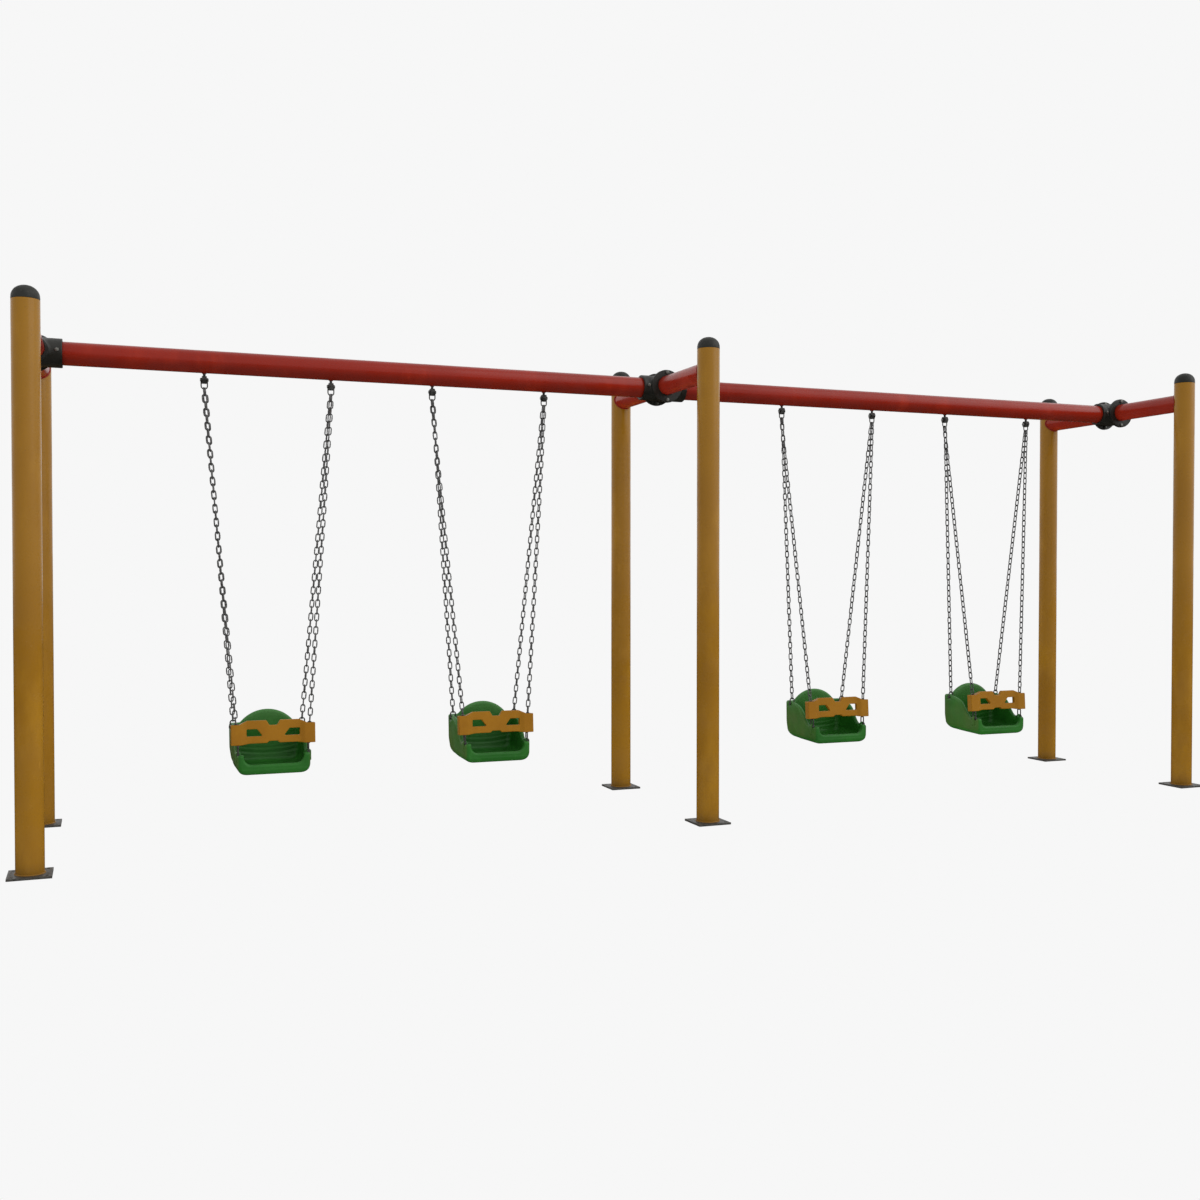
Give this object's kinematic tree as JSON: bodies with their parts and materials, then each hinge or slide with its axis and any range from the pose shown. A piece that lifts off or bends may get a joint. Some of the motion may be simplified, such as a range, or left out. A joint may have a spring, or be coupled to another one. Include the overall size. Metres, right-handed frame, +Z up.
{
  "type": "swing set",
  "caption": "Free-standing playground swing set: two bays of round posts and a top beam, toddler bucket seats on chains, each with a sliding guard bar.",
  "frame": {"origin": "on the ground, at the centre of the six posts", "axes": "+X along the beams, -Y the front (guard bars), +Z up"},
  "size_m": [6.4515, 1.3358, 2.4517],
  "materials": {
    "post": "satin powder coat, ochre yellow",
    "beam": "semi-gloss powder coat, red",
    "cap": "moulded, black",
    "casting": "black coated casting",
    "bolt": "zinc plated",
    "plate": "dull grey galvanised",
    "hanger": "black forged",
    "shackle": "dark galvanised",
    "pin": "plain",
    "bush": "bronze, plain",
    "chain": "dark galvanised round-wire links",
    "seat": "rotomoulded, satin green",
    "guard": "moulded, ochre"
  },
  "bodies": {
    "frame": {"base_plate_front_left": "plate", "base_plate_front_middle": "plate", "base_plate_front_right": "plate", "base_plate_rear_left": "plate", "base_plate_rear_middle": "plate", "base_plate_rear_right": "plate", "beam_fitting_left": "casting", "beam_fitting_middle": "casting", "beam_fitting_right": "casting", "beam_left": "beam", "beam_right": "beam", "cross_pipe_left": "beam", "cross_pipe_middle": "beam", "cross_pipe_right": "beam", "fitting_bolts": "bolt", "fitting_collars_left": "casting", "fitting_collars_middle": "casting", "fitting_collars_right": "casting", "hanger_blocks_swing_1": "hanger", "hanger_blocks_swing_2": "hanger", "hanger_blocks_swing_3": "hanger", "hanger_blocks_swing_4": "hanger", "pivot_bushes": "bush", "post_caps_left": "cap", "post_caps_middle": "cap", "post_caps_right": "cap", "post_front_left": "post", "post_front_middle": "post", "post_front_right": "post", "post_rear_left": "post", "post_rear_middle": "post", "post_rear_right": "post"},
    "swing_1": {"front_chains_swing_1": "chain", "hanger_shackles_swing_1": "shackle", "pivot_pins_swing_1": "pin", "rear_chains_swing_1": "chain", "seat_shackles_swing_1": "shackle", "seat_swing_1": "seat"},
    "guard_1": {"guard_bar_swing_1": "guard"},
    "swing_2": {"front_chains_swing_2": "chain", "hanger_shackles_swing_2": "shackle", "pivot_pins_swing_2": "pin", "rear_chains_swing_2": "chain", "seat_shackles_swing_2": "shackle", "seat_swing_2": "seat"},
    "guard_2": {"guard_bar_swing_2": "guard"},
    "swing_3": {"front_chains_swing_3": "chain", "hanger_shackles_swing_3": "shackle", "pivot_pins_swing_3": "pin", "rear_chains_swing_3": "chain", "seat_shackles_swing_3": "shackle", "seat_swing_3": "seat"},
    "guard_3": {"guard_bar_swing_3": "guard"},
    "swing_4": {"front_chains_swing_4": "chain", "hanger_shackles_swing_4": "shackle", "pivot_pins_swing_4": "pin", "rear_chains_swing_4": "chain", "seat_shackles_swing_4": "shackle", "seat_swing_4": "seat"},
    "guard_4": {"guard_bar_swing_4": "guard"}
  },
  "joints": [
    {"name": "swing_1_pivot", "type": "hinge", "parent": "frame", "child": "swing_1", "pos_m": [-2.09, 0, 2.186], "axis": [1, 0, 0], "range_deg": [-60, 60]},
    {"name": "guard_1_lift", "type": "slide", "parent": "swing_1", "child": "guard_1", "axis": [0, 0.0691, 0.9976], "range_m": [0, 0.06]},
    {"name": "swing_2_pivot", "type": "hinge", "parent": "frame", "child": "swing_2", "pos_m": [-0.978, 0, 2.186], "axis": [1, 0, 0], "range_deg": [-60, 60]},
    {"name": "guard_2_lift", "type": "slide", "parent": "swing_2", "child": "guard_2", "axis": [0, 0.0691, 0.9976], "range_m": [0, 0.06]},
    {"name": "swing_3_pivot", "type": "hinge", "parent": "frame", "child": "swing_3", "pos_m": [1.048, 0, 2.186], "axis": [1, 0, 0], "range_deg": [-60, 60]},
    {"name": "guard_3_lift", "type": "slide", "parent": "swing_3", "child": "guard_3", "axis": [0, 0.0691, 0.9976], "range_m": [0, 0.06]},
    {"name": "swing_4_pivot", "type": "hinge", "parent": "frame", "child": "swing_4", "pos_m": [2.16, 0, 2.186], "axis": [1, 0, 0], "range_deg": [-60, 60]},
    {"name": "guard_4_lift", "type": "slide", "parent": "swing_4", "child": "guard_4", "axis": [0, 0.0691, 0.9976], "range_m": [0, 0.06]}
  ]
}
